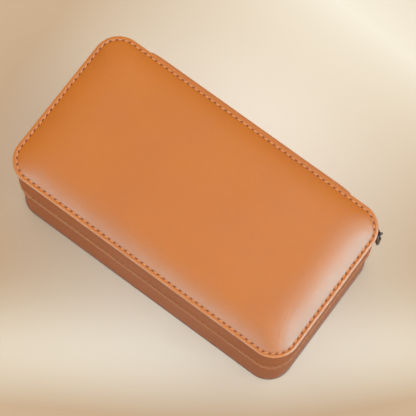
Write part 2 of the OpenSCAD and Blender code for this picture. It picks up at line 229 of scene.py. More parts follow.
def open_foam(name, colour, deep):
    material, tree, shader = tree_of(name)
    place = node(tree, "TexCoord").outputs["Object"]
    cells = node(tree, "TexVoronoi", {"Vector": place, "Scale": 900}).outputs["Distance"]
    base = mixed(tree, ranged(tree, cells, 0, 0.5, 1, 0), colour, deep)
    dressed(tree, shader, base, cells, 0.8, 0.0004, Roughness=1.0, Specular_IOR_Level=0.1)
    return material


TAN, TAN_DEEP = (0.632, 0.176, 0.009), (0.485, 0.115, 0.005)
top_leather = leather("top_leather_tan", TAN, TAN_DEEP, marks=True)
# The walls' leather is the top's tan painted darker: painted shade for the side walls, which get
# less light.
wall_leather_shaded = leather("wall_leather_tan_shaded", (0.53, 0.145, 0.024), (0.40, 0.095, 0.012), grain=1.2,
                       rough=(0.52, 0.6), gloss=0.22, marks=True)
spine_leather = leather("spine_leather_tan", (0.58, 0.160, 0.024), TAN_DEEP, rough=(0.45, 0.55),
                        gloss=0.3)
bottom_leather = leather("bottom_leather_brown", (0.36, 0.105, 0.030), (0.24, 0.060, 0.014),
                         grain=1.4, gloss=0.3)
lining_suede = suede("lining_suede", (0.50, 0.36, 0.23), (0.36, 0.25, 0.15))
pad_suede = suede("pad_suede", (0.54, 0.40, 0.26), (0.40, 0.28, 0.17))
top_yarn = yarn("top_thread_tan", (0.82, 0.41, 0.19), (0.66, 0.28, 0.11))
edge_yarn = yarn("edge_thread_gold", (0.68, 0.32, 0.12), (0.52, 0.20, 0.06))
tape_weave = woven("zip_tape_brown", (0.26, 0.10, 0.040), (0.13, 0.048, 0.018))
teeth_metal = plated("teeth_metal", (0.085, 0.050, 0.034), rough=(0.42, 0.56))
gun_metal = plated("gun_metal", (0.024, 0.019, 0.020))
board_fibre = pressed_board("grey_board", (0.30, 0.27, 0.23), (0.20, 0.18, 0.15))
foam_cells = open_foam("pale_foam", (0.80, 0.76, 0.64), (0.60, 0.55, 0.44))


# ------------------------------------------------------------------- shapes

def spots(ways, inset):
    """The corner rectangle's points and the outward normals at distances round the outline,
    which start at the middle of the back and run by the right side."""
    arc = math.pi / 2 * (CORNER - inset)
    legs = [
        (HX, (0, HY), (HX, HY), 90, 90), (arc, (HX, HY), (HX, HY), 90, 0),
        (2 * HY, (HX, HY), (HX, -HY), 0, 0), (arc, (HX, -HY), (HX, -HY), 0, -90),
        (2 * HX, (HX, -HY), (-HX, -HY), -90, -90), (arc, (-HX, -HY), (-HX, -HY), -90, -180),
        (2 * HY, (-HX, -HY), (-HX, HY), -180, -180), (arc, (-HX, HY), (-HX, HY), -180, -270),
        (HX, (-HX, HY), (0, HY), -270, -270),
    ]
    ends = np.cumsum([leg[0] for leg in legs])
    cores, normals = [], []
    for way in ways:
        i = min(int(np.searchsorted(ends, way)), len(legs) - 1)
        length, start, end, turn, turned = legs[i]
        share = 1 - (ends[i] - way) / length
        angle = math.radians(turn + (turned - turn) * share)
        cores.append([a + (b - a) * share for a, b in zip(start, end)])
        normals.append([math.cos(angle), math.sin(angle)])
    return np.array(cores), np.array(normals)


def way_round(inset):
    return 4 * (HX + HY) + 2 * math.pi * (CORNER - inset)


class Path:
    """Places round the outline, by their distances along it at an inset."""

    def __init__(self, ways, inset):
        self.ways, self.inset = ways, inset
        self.cores, self.normals = spots(ways, inset)

    def every(self, step):
        return Path(self.ways[::step], self.inset)

    def ring(self, inset, z, radius=None):
        n = len(self.ways)
        if radius is None:
            xy = self.cores + self.normals * (CORNER - np.broadcast_to(inset, n))[:, None]
        else:
            half = np.array([LENGTH, WIDTH]) / 2 - inset - radius
            xy = self.cores * (half / [HX, HY]) + self.normals * radius
        return np.column_stack([xy, np.broadcast_to(z, n)])

    def inner_ring(self, inset, z, start):
        """A ring further in than the corners' own middles. Its corners stay round, and tighten
        from start inwards."""
        radius = max(CORNER - start - 0.3 * (inset - start), 4)
        return self.ring(inset, z, min(radius, (WIDTH / 2 - inset) * 0.96))


def even_path(count, inset):
    return Path(np.arange(count) * way_round(inset) / count, inset)


def skin(name, rings, closed=False):
    """A mesh over rings of points in millimetres. A ring may have a whole multiple of its
    neighbour's points. Open ends get a cap."""
    starts = np.cumsum([0] + [len(r) for r in rings])
    faces, marks = [], []
    depth = [0.0]
    for a, b in zip(rings, rings[1:] + rings[:1]):
        depth.append(depth[-1] + float(np.linalg.norm(a[0] - b[0])))
    for r in range(len(rings) if closed else len(rings) - 1):
        s = (r + 1) % len(rings)
        a, b, na, nb = starts[r], starts[s], len(rings[r]), len(rings[s])
        if na == nb:
            girth = float(np.linalg.norm(np.roll(rings[r], -1, 0) - rings[r], axis=1).sum())
            for i in range(na):
                j = (i + 1) % na
                faces.append([a + i, a + j, b + j, b + i])
                u, w = girth * i / na * MM, girth * (i + 1) / na * MM
                v, x = depth[r] * MM, depth[r + 1] * MM
                marks.append([(u, v), (w, v), (w, x), (u, x)])
            continue
        few, many, nf, nm = (a, b, na, nb) if na < nb else (b, a, nb, na)
        step = nm // nf
        for i in range(nf):
            fan = [many + (i * step + k) % nm for k in range(step, -1, -1)]
            faces.append([few + i, few + (i + 1) % nf] + fan)
            marks.append([(0, 0)] * (step + 3))
    if not closed:
        for r in (0, len(rings) - 1):
            faces.append(list(range(starts[r], starts[r + 1])))
            marks.append([(0, 0)] * len(rings[r]))
    return finished(name, np.concatenate(rings) * MM, faces, marks)


def smoothed(mesh, sharp):
    """Shades the mesh smooth but for edges sharper than so many degrees."""
    mesh.polygons.foreach_set("use_smooth", [True] * len(mesh.polygons))
    mesh.set_sharp_from_angle(angle=math.radians(sharp))


def finished(name, points, faces, marks=None):
    """A mesh of points in metres; marks: each face's places on the material's own grid."""
    mesh = bpy.data.meshes.new(name)
    mesh.from_pydata([tuple(p) for p in points], [], [[int(i) for i in f] for f in faces])
    if marks:
        layer = mesh.uv_layers.new(name="way")
        layer.data.foreach_set("uv", np.array([uv for face in marks for uv in face], float).ravel())
    work = bmesh.new()
    work.from_mesh(mesh)
    bmesh.ops.recalc_face_normals(work, faces=work.faces)
    work.to_mesh(mesh)
    work.free()
    smoothed(mesh, 55)
    return mesh


def marked(mesh, name, values):
    layer = mesh.attributes.new(name, "FLOAT", "POINT")
    layer.data.foreach_set("value", np.concatenate(values).astype(np.float32))


def piece(mesh, body, material, replaces=()):
    made = bpy.data.objects.new(mesh.name, mesh)
    bpy.context.scene.collection.objects.link(made)
    mesh.materials.append(material)
    if body:
        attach(made, body)
    if replaces:
        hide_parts(*replaces)
    return made


def joined(name, parts):
    """One mesh out of (points in millimetres, faces) parts."""
    points, faces, at = [], [], 0
    for some, theirs in parts:
        points.append(some)
        faces += [[i + at for i in face] for face in theirs]
        at += len(some)
    return finished(name, np.concatenate(points) * MM, faces)


def tube_faces(sections, around, closed=False):
    """The faces of a tube with even sections, which is capped at both ends or closed to a ring."""
    caps = [list(range(around)), list(range((sections - 1) * around, sections * around))]
    faces = [] if closed else caps
    for s in range(sections if closed else sections - 1):
        here, there = s * around, (s + 1) % sections * around
        for i in range(around):
            j = (i + 1) % around
            faces.append([here + i, here + j, there + j, there + i])
    return faces


def stitches(name, places, length, width, rise, dip):
    """Threads that come up out of one hole and go down into the next.
    places: (middle, direction along, direction up)."""
    sections, around = 11, 10
    faces = tube_faces(sections, around)
    parts = []
    for count, (middle, along, up) in enumerate(places):
        side = np.cross(up, along)
        slant = 0.10 + 0.03 * math.sin(count * 2.4)
        points = []
        for s in np.linspace(-1, 1, sections):
            arch = 1 - abs(s) ** 3.2
            thick = 1 - 0.38 * abs(s) ** 4
            centre = (middle + along * s * length / 2 + side * slant * s * width
                      + up * (arch * rise - (1 - arch) * dip))
            for k in range(around):
                turn = 2 * math.pi * k / around
                ply = 1 + 0.07 * math.cos(2 * (turn + 2.6 * s))
                points.append(centre + thick * ply * (side * math.cos(turn) * width / 2
                                                      + up * math.sin(turn) * width * 0.36))
        parts.append((np.array(points), faces))
    return joined(name, parts)


def stitch_places(inset, first, last, z, upright):
    """Middles of stitches along the outline; upright ones lie on the side wall."""
    count = int((last - first) / PITCH)
    step = (last - first) / count
    ways = first + (np.arange(count) + 0.5) * step
    cores, normals = spots(ways, inset)
    places = []
    for core, normal in zip(cores, normals):
        out = np.array([*normal, 0.0])
        along = np.array([normal[1], -normal[0], 0.0])
        middle = np.array([*(core + normal * (CORNER - inset)), z])
        places.append((middle, along, out if upright else np.array([0.0, 0.0, 1.0])))
    return places


def hole_distance(ways, first, last, step):
    """Signed distance to the nearest needle hole, and 1 where there is stitching."""
    inside = (ways >= first - step / 2) & (ways <= last + step / 2)
    return (ways - first + step / 2) % step - step / 2, inside.astype(float)


def crown_rise(inset):
    share = np.clip((inset - CROWN_START) / SHOULDER, 0, 1)
    return CROWN * (1 - (1 - share) ** 3.2)


def wobble(points, size, amount):
    """Slow waves in millimetres, for leather that isn't perfectly flat."""
    return np.array([amount * noise.noise(Vector(p) / size) for p in points])


def loop(half_x, half_y, corner, x, y, z, on_side, on_end):
    """A rounded rectangle of points at one height."""
    on_corner = 4
    corner = min(corner, half_x * 0.98, half_y * 0.98)
    points = []
    for sx, sy, turn in ((1, 1, 0), (-1, 1, 90), (-1, -1, 180), (1, -1, 270)):
        cx, cy = sx * (half_x - corner), sy * (half_y - corner)
        for k in range(on_corner + 1):
            angle = math.radians(turn + 90 * k / on_corner)
            points.append([cx + corner * math.cos(angle), cy + corner * math.sin(angle)])
        straight = half_x - corner if sx == sy else half_y - corner
        steps = on_side if sx == sy else on_end
        dx, dy = -round(math.cos(math.radians(turn))), -round(math.sin(math.radians(turn)))
        last = points[-1]
        for k in range(1, steps):
            reach = 2 * straight * k / steps
            points.append([last[0] + dx * reach, last[1] + dy * reach])
    return np.array([[x + px, y + py, z] for px, py in points])


# ---------------------------------------------------------------------- lid

top_step = way_round(STITCH_INSET) / STITCHES
fine = even_path(STITCHES * 8, STITCH_INSET)
coarse = fine.every(4)


def make_top():
    """The crowned cover, with a stitched flat rim, a groove and a needle hole between stitches."""
    half_long, half_wide, slant, deep = 0.85, 0.42, 0.6, 0.36  # of a needle hole
    below = RIM - 1.2
    du, _ = hole_distance(fine.ways, 0, way_round(STITCH_INSET), top_step)
    rings, hole_shade_rows, edges = [], [], []
    profile = [(v, RIM)
               for v in (3.6, 3.3, 3.05, 2.85, 2.7, 2.55, 2.4, 2.25, 2.1, 1.9, 1.6, 1.27)]
    for angle in (12, 24, 36, 48, 59, 70, 80, 90):
        a = math.radians(angle)
        profile.append((1.27 - 1.25 * math.sin(a), RIM - 0.8 * (1 - math.cos(a))))
    profile += [(0.05, RIM - 0.98), (0.17, RIM - 1.12), (0.4, RIM - 1.18), (1.2, below)]
    for v, z in profile:
        across = v - STITCH_INSET
        flat = 1.0 if z > RIM - 0.3 else 0.0
        hole_dip_and_shade = np.exp(-((du + slant * across) / half_long) ** 4 - (across / half_wide) ** 2)
        groove = -0.18 * math.exp(-(across / 0.55) ** 2) + 0.10 * math.exp(-((v - 1.5) / 0.5) ** 2)
        lift = crown_rise(v) if z == RIM else 0.0
        # The rim's outer edge is painted lighter: burnish, and partly a painted highlight.
        burnish_and_highlight = 0.36 * math.exp(-((v - 0.3) / 0.4) ** 2) if z > RIM - 1 else 0.0
        rings.append(fine.ring(v, z + lift + flat * (groove - deep * hole_dip_and_shade)))
        # Needle-hole marks painted dark in the material: painted shade inside each hole.
        hole_shade_rows.append(np.clip(flat * hole_dip_and_shade * 1.15, 0, 1))
        edges.append(np.full(len(fine.ways), burnish_and_highlight))
    inner, under = [], [coarse.ring(3.2, below)]
    for v in [*np.linspace(4.2, 14, 15), *np.linspace(15, 31.4, 16),
              34, 37, 40, 43, 46, 49, 51, 52.3]:
        part = coarse.inner_ring(v, RIM + crown_rise(v), 3.6)
        ease = min((v - 3.6) / 12, 1)
        part[:, 2] += ease * (wobble(part, 46, 0.22) + wobble(part, 17, 0.05))
        inner.append(part)
    for v in (4.4, 6, 9, 13, 18, 24, 31.4, 40, 46, 52.3):
        under.append(coarse.inner_ring(v, below + crown_rise(v) - 0.1, 3.4))
    mesh = skin("top_cover", inner[::-1] + rings + under)
    plain = [np.zeros(len(r)) for r in inner], [np.zeros(len(r)) for r in under]
    marked(mesh, "hole", plain[0] + hole_shade_rows + plain[1])
    marked(mesh, "edge", plain[0] + edges + plain[1])
    piece(mesh, "lid", top_leather, ["top_leather"])


make_top()

places = stitch_places(STITCH_INSET, 0, way_round(STITCH_INSET), RIM - 0.10, False)
piece(stitches("top_threads", places, top_step - 1.5, 0.6, 0.16, 0.34),
      "lid", top_yarn, ["top_stitching"])


def edge_wave(points):
    """How far the walls' sewn edges wander up and down, at points on the rim's outline."""
    return wobble(points, 26, 0.22)


def make_wall(name, body, profile, hem, seam, crest, replaces):
    """A side wall of leather. profile: (inset, height) all round a closed section. hem: how far
    the rows with these indices follow the sewn edge. seam: the stitches' height. crest: the height
    of the lightened edge, how much lighter it is, and the inset that it ends at. The lighter edge
    is burnish, and partly a painted highlight, kept fainter on the right end where a lamp lights
    it."""
    total = way_round(EDGE_INSET)
    first, last = SPINE_HALF, total - SPINE_HALF
    step = (last - first) / int((last - first) / PITCH)
    dense = even_path(1120, EDGE_INSET)
    sparse = dense.every(4)
    du, sewn = hole_distance(dense.ways, first, last, step)
    pinch = 0.5 + 0.5 * np.cos(2 * math.pi * du / step)
    groove, pull, swell = 0.14, 0.16, 0.05
    wave = edge_wave(dense.ring(0, 0)) + sewn * swell * (1 - pinch)
    height, amount, reach = crest
    rings, edges = [], []
    for k, (inset, z) in enumerate(profile):
        if k in hem:
            near = math.exp(-((z - seam) / 0.7) ** 2)
            dip = groove * near + sewn * pinch * pull * near
            side, ring = dense, dense.ring(inset + dip, z + wave * hem[k])
        else:
            side, ring = sparse, sparse.ring(inset, z)
        # Lighter crest: burnish, and partly a painted highlight along it.
        burnish_and_highlight = amount * math.exp(-((z - height) / 0.35) ** 2) if inset < reach else 0
        rings.append(ring)
        # The painted highlight is kept fainter where the wall faces +X, since the right-hand lamp
        # lights it there.
        edges.append(burnish_and_highlight * (1 - 0.7 * np.clip(side.normals[:, 0], 0, 1)))
    mesh = skin(name, rings, closed=True)
    marked(mesh, "hole", [0 * e for e in edges])
    marked(mesh, "edge", edges)
    piece(mesh, body, wall_leather_shaded, replaces)


lid_profile = [
    (7.0, 78.7), (1.35, 78.74), (0.8, 78.68), (0.45, 78.45), (0.28, 78.1), (0.24, 77.6),
    (0.28, 77.0), (0.42, 76.4), (0.66, 75.8), (0.88, 75.2), (1.0, 74.4), (1.02, 70), (1.0, 66),
    (1.0, 61), (1.0, 56), (1.0, 51.5), (1.0, 50.2), (0.97, 49.7), (0.84, 49.42), (0.72, 49.1),
    (0.68, 48.6), (0.68, 48.2), (0.68, 47.9), (0.68, 47.6), (0.68, 47.3), (0.7, 46.9),
    (0.78, 46.45), (0.98, 46.12), (1.35, 46.0), (1.8, 46.04), (2.1, 46.3), (2.17, 48),
    (2.17, 77.5), (7.0, 77.64),
]
lid_hem = dict(zip(range(17, 30), [0.3, 0.7] + [1] * 11))
make_wall("lid_side", "lid", lid_profile, lid_hem, 47.7, (78.0, 0.4, 1.0), ["lid_leather"])

base_profile = [
    (2.17, 1.66), (1.15, 1.66), (1.0, 1.85), (1.0, 6), (1.0, 12), (1.0, 18), (1.0, 24), (1.0, 30),
    (1.0, 36), (1.0, 38.0), (0.95, 38.35), (0.75, 38.6), (0.52, 38.85), (0.42, 39.3),
    (0.38, 39.8), (0.36, 40.2), (0.34, 40.6), (0.32, 40.9), (0.34, 41.2), (0.46, 41.55),
    (0.7, 41.84), (1.02, 42.02), (1.4, 42.08), (1.85, 41.94), (2.12, 41.5), (2.17, 40.8),
    (2.17, 20),
]
base_hem = dict(zip(range(10, 25), [0.4, 0.8] + [1] * 13))
make_wall("base_side", "base", base_profile, base_hem, 40.0, (41.7, 0.85, 0.75), ["base_leather"])

for name, body, inset, z, node_name in (
    ("lid_edge_threads", "lid", 0.74, 47.7, "lid_edge_stitching"),
    ("base_edge_threads", "base", 0.42, 40.2, "base_edge_stitching"),
):
    places = stitch_places(inset, SPINE_HALF, way_round(inset) - SPINE_HALF, z, True)
    waves = edge_wave([(*(middle[:2] + up[:2] * inset), 0) for middle, _, up in places])
    places = [(middle + np.array([0, 0, wave]), along, up)
              for (middle, along, up), wave in zip(places, waves)]
    piece(stitches(name, places, 2.7, 0.44, 0.07, 0.30), body, edge_yarn, [node_name])


def shell(name, body, material, replaces, profile):
    """A skin round the case's middle; profile: (inset, height), from the middle to the middle."""
    straight = 11
    rings = [coarse.ring(i, z) if i <= straight else coarse.inner_ring(i, z, straight)
             for i, z in profile]
    return piece(skin(name, rings), body, material, replaces)


def foam_profile():
    """From the middle under the crown out to the flat rim, and back above the roof board."""
    insets = (52.3, 42, 31.4, 26, 21, 17, 13.5, 10.5, 8, 6.4, 5.4)
    top = [(v, 78.6 + crown_rise(v) - 0.14) for v in insets]
    return top + [(4.9, 79.0), (5.0, 78.9), (6.9, 78.88), (7.1, 78.7), (7.1, 77.8), (7.4, 77.62),
                  (52.3, 77.62)]


shell("lid_foam", "lid", foam_cells, ["top_foam"], foam_profile())

shell("lid_lining_suede", "lid", lining_suede, ["lid_lining"], [
    (52, 75.58), (4.6, 75.58), (4.24, 75.3), (4.22, 46.9), (4.32, 46.55), (4.6, 46.42),
    (4.86, 46.55), (4.98, 46.9), (5.0, 73.2), (5.3, 74.2), (6.2, 74.75), (52, 74.8),
])
shell("lid_pad_suede", "lid", pad_suede, ["lid_pad"], [
    (52, 74.78), (7.0, 74.77), (5.8, 74.5), (5.34, 73.6), (5.36, 72.4), (5.9, 71.3), (7.2, 70.5),
    (9.5, 70.05), (11.5, 69.98), (12.6, 70.25), (13.0, 70.5), (13.4, 70.25), (14.6, 69.95),
    (20, 69.84), (30, 69.8), (52, 69.8),
])

# --------------------------------------------------------------------- base

shell("bottom_cover", "base", bottom_leather, ["bottom_panel"], [
    (52, 0.0), (5.0, 0.0), (3.2, 0.02), (2.7, 0.12), (2.2, 0.02), (1.2, 0.03), (0.75, 0.18),
    (0.48, 0.5), (0.4, 0.85), (0.5, 1.22), (0.75, 1.48), (1.15, 1.6), (3, 1.6), (52, 1.6),
])
shell("base_lining_suede", "base", lining_suede, ["base_lining"], [
    (52, 3.62), (4.6, 3.62), (4.24, 3.9), (4.22, 41.1), (4.32, 41.45), (4.6, 41.58), (4.86, 41.45),
    (4.98, 41.1), (5.0, 6.0), (5.3, 5.0), (6.2, 4.45), (52, 4.4),
])
shell("floor_pad_suede", "base", pad_suede, ["floor_pad"], [
    (52, 4.42), (6.6, 4.42), (5.6, 4.7), (5.32, 5.5), (5.4, 6.4), (5.9, 7.0), (7.2, 7.3),
    (10, 7.4), (52, 7.4),
])


def make_divider(side, name):
    """A stiff divider wrapped in suede, with a raised seam along its top edge."""
    x = side * COMPARTMENT / 2 + side * DIVIDER / 2
    rows = []
    for z in (7.42, 12, 20, 28, 34, 36.6):
        rows.append((DIVIDER / 2 - (0.12 if z > 36 else 0), WIDTH / 2 - 5.3, z))
    for angle in (15, 35, 55, 75, 88):
        a = math.radians(angle)
        rows.append((0.25 + 1.15 * math.cos(a), WIDTH / 2 - 6.4 + 1.1 * math.cos(a),
                     37.2 + 1.2 * math.sin(a)))
    rings = [loop(hx, hy, 0.8, x, 0, z, on_side=2, on_end=24) for hx, hy, z in rows]
    piece(skin(name + "_wrap", rings), "base", lining_suede, [name])


make_divider(-1, "divider_left")
make_divider(1, "divider_right")


# ------------------------------------------------------------------ pillows

def power(value, exponent):
    return math.copysign(abs(value) ** exponent, value)


def pillow_rings(length, depth, height, places, around):
    """Rounded squares across the pillow, at places from one end (1) to the other (-1)."""
    rings = []
    for place in places:
        share = 0.5 + 0.5 * max(1 - abs(place) ** 4, 0) ** (1 / 3)
        turns = [2 * math.pi * k / around for k in range(around)]
        rings.append(np.array([
            [place * length / 2, share * power(math.cos(turn), 2 / 3.4) * depth / 2,
             share * power(math.sin(turn), 2 / 3.4) * height / 2]
            for turn in turns
        ]))
    return rings


def make_pillow_mesh():
    """A stuffed pillow: blown up a little as cloth, and capped to the room that it has."""
    length, depth, height = PILLOW
    frames, most = 20, 0.0035
    half = [1, 0.985, 0.95, 0.9, 0.8, 0.65, 0.45, 0.2]
    places = half + [0] + [-place for place in half[::-1]]
    start = skin("pillow", pillow_rings(length - 5, depth - 6, height - 6, places, 48))
    made = bpy.data.objects.new("pillow", start)
    bpy.context.scene.collection.objects.link(made)
    remesh = made.modifiers.new("remesh", "REMESH")
    remesh.mode, remesh.voxel_size = "VOXEL", 0.0026
    bpy.context.view_layer.objects.active = made
    with bpy.context.temp_override(object=made, active_object=made, selected_objects=[made]):
        bpy.ops.object.modifier_apply(modifier="remesh")
    rest = np.array([v.co for v in made.data.vertices])
    cloth = made.modifiers.new("cloth", "CLOTH")
    cloth.settings.quality = 6
    cloth.settings.mass = 0.3
    cloth.settings.tension_stiffness = cloth.settings.compression_stiffness = 18
    cloth.settings.bending_stiffness = 0.6
    cloth.settings.use_pressure = True
    cloth.settings.uniform_pressure_force = 4
    cloth.settings.effector_weights.gravity = 0
    cloth.point_cache.frame_start, cloth.point_cache.frame_end = 1, frames
    for moment in range(1, frames + 1):
        bpy.context.scene.frame_set(moment)
    graph = bpy.context.evaluated_depsgraph_get()
    swollen = np.array([v.co for v in made.evaluated_get(graph).data.vertices])
    made.modifiers.remove(cloth)
    bpy.context.scene.frame_set(1)
    move = swollen - rest
    far = np.linalg.norm(move, axis=1)
    rest = rest + move * np.minimum(1, most / np.maximum(far, 1e-9))[:, None]
    room = np.array(PILLOW) / 2 * MM * 0.995
    made.data.vertices.foreach_set("co", np.clip(rest, -room, room).ravel())
    smooth = made.modifiers.new("smooth", "SMOOTH")
    smooth.iterations, smooth.factor = 4, 0.5
    divide = made.modifiers.new("divide", "SUBSURF")
    divide.levels = divide.render_levels = 1
    graph = bpy.context.evaluated_depsgraph_get()
    mesh = bpy.data.meshes.new_from_object(made.evaluated_get(graph))
    bpy.data.objects.remove(made)
    mesh.materials.clear()
    mesh.polygons.foreach_set("use_smooth", [True] * len(mesh.polygons))
    return mesh


def make_piping(mesh):
    """Two cords that lie on the pillow near its ends, as (points in millimetres, faces)."""
    tree = BVHTree.FromPolygons([v.co for v in mesh.vertices],
                                [list(p.vertices) for p in mesh.polygons])
    sections, around, radius = 96, 6, PIPING * MM
    cords = []
    for place in (-0.86, 0.86):
        middle = Vector((place * PILLOW[0] / 2 * MM, 0, 0))
        points = []
        for k in range(sections):
            turn = 2 * math.pi * k / sections
            centre = tree.ray_cast(middle, Vector((0, math.cos(turn), math.sin(turn))))[0]
            out = Vector((0, centre.y, centre.z)).normalized()
            for a in range(around):
                roll = 2 * math.pi * a / around
                off = out * radius * math.cos(roll) + Vector((radius * math.sin(roll), 0, 0))
                points.append(np.array(centre + off) / MM)
        cords.append((np.array(points), tube_faces(sections, around, closed=True)))
    return cords


def make_pillows():
    mesh = make_pillow_mesh()
    cords = make_piping(mesh)
    low = min(v.co.z for v in mesh.vertices) / MM
    for side, label in ((-1, "left"), (0, "middle"), (1, "right")):
        move = np.array([side * (COMPARTMENT + DIVIDER), 0, PILLOW_LOW - low])
        mine = mesh.copy()
        mine.name = f"pillow_{label}"
        mine.transform(Matrix.Translation(move * MM))
        made = piece(mine, "base", pad_suede,
                     [f"pillow_cover_{label}", f"pillow_core_{label}"])
        parts = [(points + move, faces) for points, faces in cords]
        piece(joined(f"pillow_{label}_piping", parts), "base", lining_suede)


make_pillows()

# ---------------------------------------------------------------------- zip

def make_tape(name, body, low, high, replaces):
    """A strip of woven tape from one end of the spine round to the other."""
    ways = np.linspace(TAPE_START, way_round(ZIP_INSET) - TAPE_START, 560)
    cores, normals = spots(ways, ZIP_INSET)
    half = [(0.28, low), (0.3, low + 0.1), (0.3, high - 0.25), (0.42, high - 0.1), (0.3, high)]
    section = half + [(-out, z) for out, z in half[::-1]]
    rows = [np.column_stack([cores + normals * (CORNER - ZIP_INSET + out), np.full(len(ways), z)])
            for out, z in section]
    n, m = len(ways), len(section)
    faces, marks = [], []
    for r in range(m):
        s = (r + 1) % m
        v, x = section[r][1] * MM, section[s][1] * MM
        if x == v:
            x += 1e-5
        for i in range(n - 1):
            faces.append([r * n + i, r * n + i + 1, s * n + i + 1, s * n + i])
            u, w = ways[i] * MM, ways[i + 1] * MM
            marks.append([(u, v), (w, v), (w, x), (u, x)])
    for i in (0, n - 1):
        faces.append([r * n + i for r in range(m)])
        marks.append([(0, 0)] * m)
    mesh = finished(name, np.concatenate(rows) * MM, faces, marks)
    piece(mesh, body, tape_weave, [replaces])


make_tape("base_tape", "base", 34.0, 42.42, "lower_tape")
make_tape("lid_tape", "lid", 45.58, 54.0, "upper_tape")


def make_teeth(name, body, up, replaces):
    """Moulded teeth: each clamps the tape and has a narrow rounded head towards the other row."""
    start = HX + math.pi / 2 * (CORNER - ZIP_INSET) * (90 - FIRST_TOOTH) / 90
    last = way_round(ZIP_INSET) - start
    count = int((last - start) / TOOTH_PITCH)
    step = (last - start) / count
    cores, normals = spots(start + (np.arange(count) + 0.5) * step, ZIP_INSET)
    foot = ZIP - up * TOOTH_FOOT
    levels = [(0.0, 0.62, 0.55), (0.06, 0.76, 0.72), (0.45, 0.8, 0.8), (0.62, 0.72, 0.74),
              (0.7, 0.5, 0.62), (0.92, 0.52, 0.6), (1.04, 0.42, 0.5), (1.1, 0.26, 0.34)]
    fuller, around = 1.03, 8
    parts = []
    for core, normal in zip(cores, normals):
        out = np.array([*normal, 0])
        along = np.array([normal[1], -normal[0], 0])
        middle = np.array([*(core + normal * (CORNER - ZIP_INSET)), foot])
        points = []
        for rise, a, b in levels:
            for k in range(around):
                turn = 2 * math.pi * (k + 0.5) / around
                points.append(middle + along * power(math.cos(turn), 0.6) * a * fuller
                              + out * power(math.sin(turn), 0.6) * b * fuller
                              + np.array([0, 0, up * rise]))
        parts.append((np.array(points), tube_faces(len(levels), around)))
    piece(joined(name, parts), body, teeth_metal, [replaces])


make_teeth("base_teeth", "base", 1, "lower_teeth")
make_teeth("lid_teeth", "lid", -1, "upper_teeth")

# -------------------------------------------------------------------- spine

def make_spine():
    """The leather strip that hinges the lid: rounded edges, thinned ends, and a soft fold at the
    zip's height."""
    low, high, corner, edge = 1.8, 78.6, 3.0, 0.85
    taper, thinner = 9, 0.8
    middle_y, half_y = (SPINE_FRONT + SPINE_BACK) / 2, (SPINE_BACK - SPINE_FRONT) / 2
    ends = [edge * (1 - math.cos(math.radians(a))) for a in (5, 25, 45, 65, 90)]
    heights = [*(low + end for end in ends), *np.linspace(3.4, 38, 16),
               *np.linspace(38.6, 49.4, 28), *np.linspace(50, 77, 14),
               *(high - end for end in ends[::-1])]
    rings = []
    for z in heights:
        near = min(z - low, high - z)
        round_in = edge - math.sqrt(edge ** 2 - max(edge - near, 0) ** 2)
        turn_in = corner - math.sqrt(corner ** 2 - max(corner - near, 0) ** 2)
        fold = 0.28 * math.exp(-((z - ZIP) / 2.2) ** 2)
        row = loop(SPINE_HALF - turn_in - round_in * 0.5, half_y - round_in - fold / 2, edge,
                   0, middle_y - fold / 2, z, on_side=60, on_end=2)
        row[:, 1] += wobble([(x, 0, z) for x, _, _ in row], 30, 0.12) - 0.1
        share = np.clip((np.abs(row[:, 0]) - SPINE_HALF + taper) / taper, 0, 1) ** 2
        row[:, 1] -= thinner * share * (row[:, 1] > middle_y)
        rings.append(row)
    mesh = skin("spine_strip", rings)
    made = piece(mesh, None, spine_leather, ["hinge_spine"])
    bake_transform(made)


make_spine()

# --------------------------------------------------------- slider and puller

CENTRE = np.array([HX, HY, ZIP])


def polar(radius, degrees, z=0):
    """A point by its radius and angle round the corner's middle, and its height over the zip."""
    a = math.radians(degrees)
    return CENTRE + np.array([radius * math.cos(a), radius * math.sin(a), z])


def bevelled(made, width, segments):
    """Rounds the piece's sharp edges."""
    sharp = 40
    bevel = made.modifiers.new("bevel", "BEVEL")
    bevel.width, bevel.segments = width * MM, segments
    bevel.limit_method, bevel.angle_limit = "ANGLE", math.radians(sharp)
    graph = bpy.context.evaluated_depsgraph_get()
    made.data = bpy.data.meshes.new_from_object(made.evaluated_get(graph))
    made.modifiers.clear()
    smoothed(made.data, sharp)


def plate(start, end, inner, outer, half, steps=18):
    """A curved plate round the corner; half gives its half height at a share of its length."""
    points = []
    for s in np.linspace(0, 1, steps):
        angle = start + (end - start) * s
        h = half(s)
        points += [polar(inner, angle, -h), polar(outer, angle, -h),
                   polar(outer, angle, h), polar(inner, angle, h)]
    return np.array(points), tube_faces(steps, 4)


def make_slider():
    """A plate on either side of the teeth, a taller face on the outer one, and a thin post."""
    start, end = SLIDER - 20, SLIDER + 20

    def grip(s):
        return 1.7 * (0.9 + 0.1 * math.sin(math.pi * min(s * 1.6 + 0.15, 1)))

    def face(s):
        return 2.4 * (0.66 + 0.34 * math.sin(math.pi * (0.22 + 0.66 * s)) ** 0.7)

    parts = [
        plate(start, end, 11.1, 12.3, grip),
        plate(start, end, 14.9, 16.12, grip),
        plate(start + 0.4, end - 0.4, 16.1, 17.3, face),
        plate(end - 4, end, 12.25, 14.95, lambda s: 0.25, steps=4),
    ]
    made = piece(joined("slider_shell", parts), "slider", gun_metal, ["slider_body"])
    bevelled(made, 0.28, 3)


make_slider()


